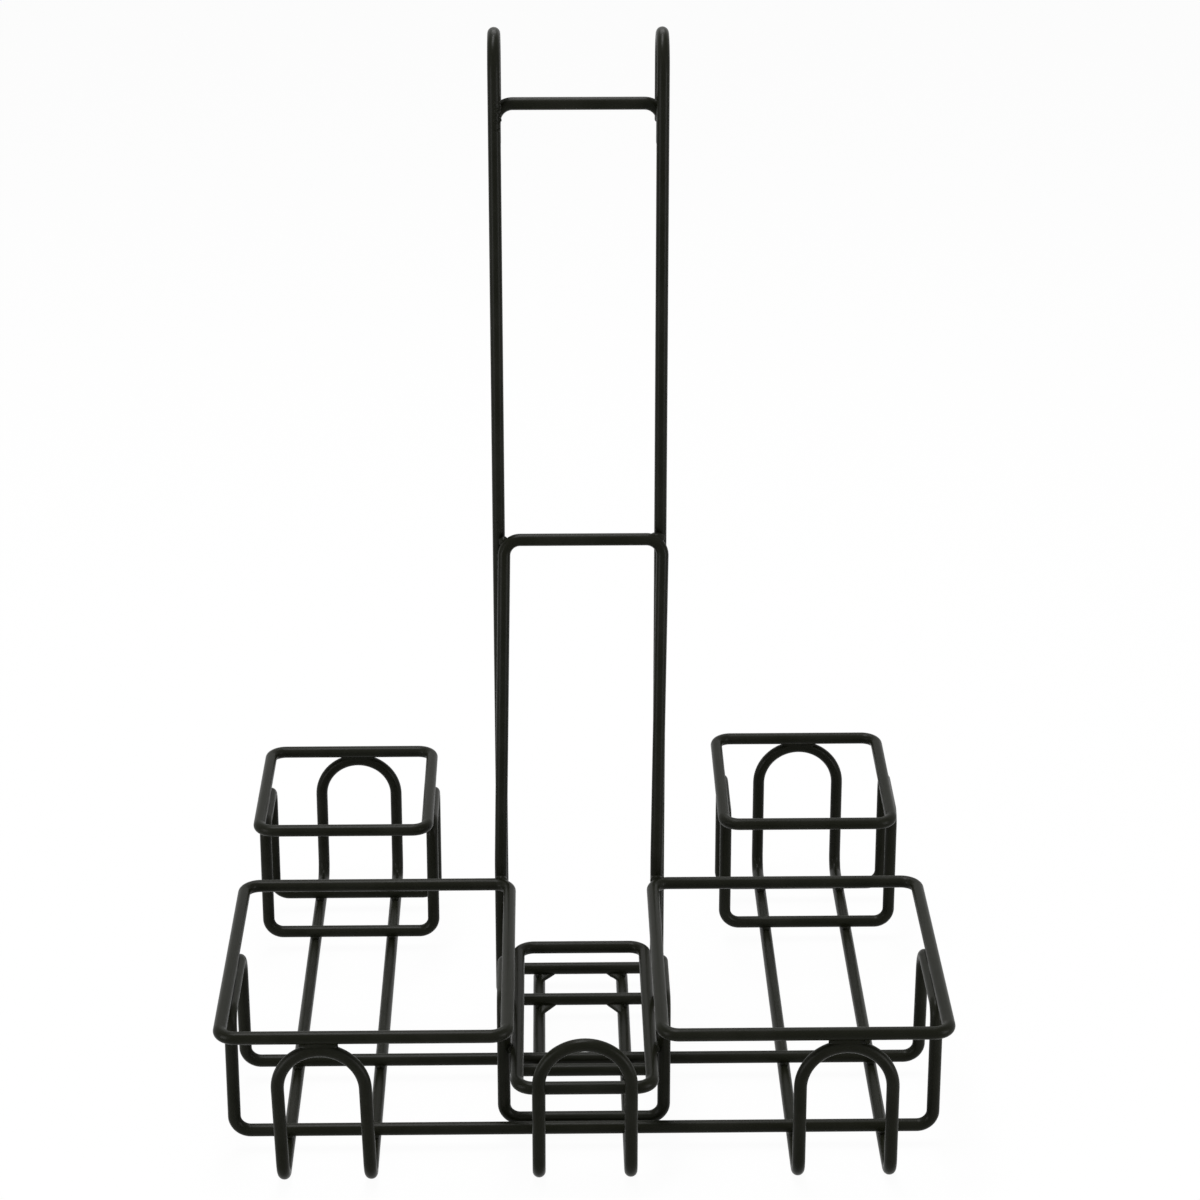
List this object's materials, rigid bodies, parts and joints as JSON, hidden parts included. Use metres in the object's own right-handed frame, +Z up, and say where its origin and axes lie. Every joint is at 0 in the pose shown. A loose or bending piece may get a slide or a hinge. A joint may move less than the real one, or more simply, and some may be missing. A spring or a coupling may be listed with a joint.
{
  "type": "condiment caddy",
  "caption": "Wire table caddy with open rectangular holders for bottles and packets around a tall central handle.",
  "frame": {"origin": "on the table, in the middle of the footprint", "axes": "+Z up along the handle, -Y toward the front with the two large rings, +X to the viewer's right"},
  "size_m": [0.2682, 0.2658, 0.391],
  "materials": {
    "left_sled": "satin black coating",
    "right_sled": "satin black coating",
    "centre_sled": "satin black coating",
    "left_large_ring": "satin black coating",
    "right_large_ring": "satin black coating",
    "left_small_ring": "satin black coating",
    "right_small_ring": "satin black coating",
    "centre_ring": "satin black coating",
    "long_cradle": "satin black coating",
    "centre_cradle": "satin black coating",
    "left_small_cradle": "satin black coating",
    "right_small_cradle": "satin black coating",
    "handle": "satin black coating",
    "handle_crossbar": "satin black coating",
    "brace": "satin black coating"
  },
  "bodies": {
    "root": {"left_sled": "left_sled", "right_sled": "right_sled", "centre_sled": "centre_sled", "left_large_ring": "left_large_ring", "right_large_ring": "right_large_ring", "left_small_ring": "left_small_ring", "right_small_ring": "right_small_ring", "centre_ring": "centre_ring", "long_cradle": "long_cradle", "centre_cradle": "centre_cradle", "left_small_cradle": "left_small_cradle", "right_small_cradle": "right_small_cradle", "handle": "handle", "handle_crossbar": "handle_crossbar", "brace": "brace"}
  },
  "joints": []
}
